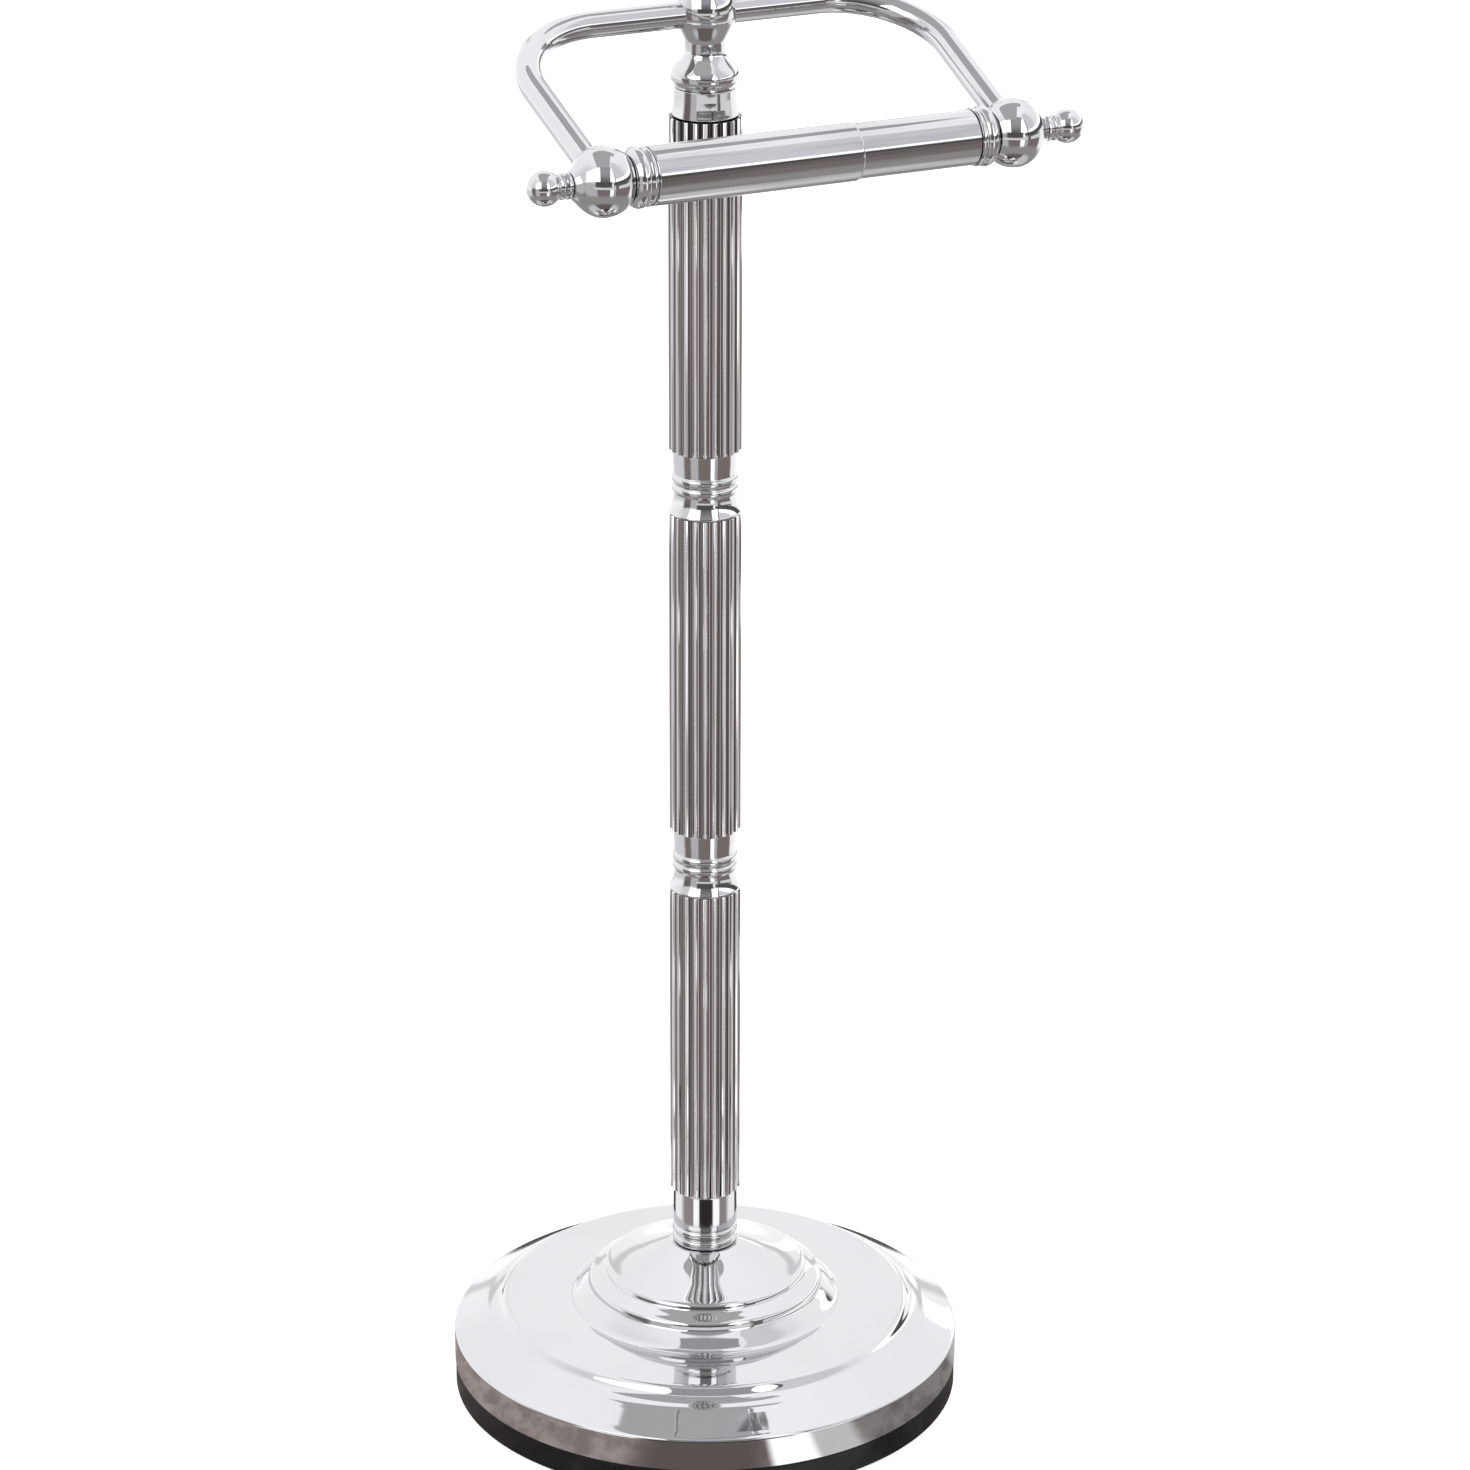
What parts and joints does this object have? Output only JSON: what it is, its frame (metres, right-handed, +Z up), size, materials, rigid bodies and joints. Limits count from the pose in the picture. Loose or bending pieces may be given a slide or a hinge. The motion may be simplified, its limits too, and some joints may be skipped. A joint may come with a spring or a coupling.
{
  "type": "freestanding toilet paper holder",
  "caption": "Polished chrome floor-standing toilet paper holder: weighted stepped round foot, fluted column with turned collars, and a sprung telescoping roller between bent arms.",
  "frame": {"origin": "on the column's axis, at the level of the floor that the pad rests on", "axes": "+Z up along the column; X along the roller, with the sliding inner tube on the +X side; -Y towards the front, where the roller hangs"},
  "size_m": [0.2196, 0.205, 0.5959],
  "materials": {
    "floor_pad": "matte black rubber",
    "base_weight": "satin black paint on cast iron",
    "base_cover": "polished chrome plate",
    "base_collar": "polished chrome plate",
    "lower_tube": "polished chrome plate",
    "lower_joiner": "polished chrome plate",
    "middle_tube": "polished chrome plate",
    "upper_joiner": "polished chrome plate",
    "upper_tube": "polished chrome plate",
    "top_collar": "polished chrome plate",
    "vase_neck": "polished chrome plate",
    "hub": "polished chrome plate",
    "top_finial": "polished chrome plate",
    "tie_rod": "plain zinc-plated steel",
    "base_washer": "plain zinc-plated steel",
    "spring_washer": "plain zinc-plated steel",
    "base_nut": "plain zinc-plated steel",
    "left_arm": "polished chrome plate",
    "right_arm": "polished chrome plate",
    "left_bulb": "polished chrome plate",
    "right_bulb": "polished chrome plate",
    "left_knob": "polished chrome plate",
    "right_knob": "polished chrome plate",
    "roller_outer_tube": "polished chrome plate",
    "roller_left_cap": "polished chrome plate",
    "roller_inner_tube": "polished chrome plate",
    "roller_right_cap": "polished chrome plate",
    "roller_spring": "drawn spring steel wire"
  },
  "bodies": {
    "root": {"floor_pad": "floor_pad", "base_weight": "base_weight", "base_cover": "base_cover", "base_collar": "base_collar", "lower_tube": "lower_tube", "lower_joiner": "lower_joiner", "middle_tube": "middle_tube", "upper_joiner": "upper_joiner", "upper_tube": "upper_tube", "top_collar": "top_collar", "vase_neck": "vase_neck", "hub": "hub", "top_finial": "top_finial", "tie_rod": "tie_rod", "base_washer": "base_washer", "spring_washer": "spring_washer", "base_nut": "base_nut", "left_arm": "left_arm", "right_arm": "right_arm", "left_bulb": "left_bulb", "right_bulb": "right_bulb", "left_knob": "left_knob", "right_knob": "right_knob"},
    "roller_outer": {"roller_outer_tube": "roller_outer_tube", "roller_left_cap": "roller_left_cap", "roller_spring": "roller_spring"},
    "roller_inner": {"roller_inner_tube": "roller_inner_tube", "roller_right_cap": "roller_right_cap"}
  },
  "joints": [
    {"name": "roller_spin", "type": "hinge", "parent": "root", "child": "roller_outer", "pos_m": [0, -0.0906, 0.5333], "axis": [1, 0, 0], "continuous": true},
    {"name": "roller_squeeze", "type": "slide", "parent": "roller_outer", "child": "roller_inner", "axis": [-1, 0, 0], "range_m": [0, 0.008], "stiffness_N_per_m": 300, "springref_m": -0.012, "deforming": ["roller_spring"]}
  ]
}
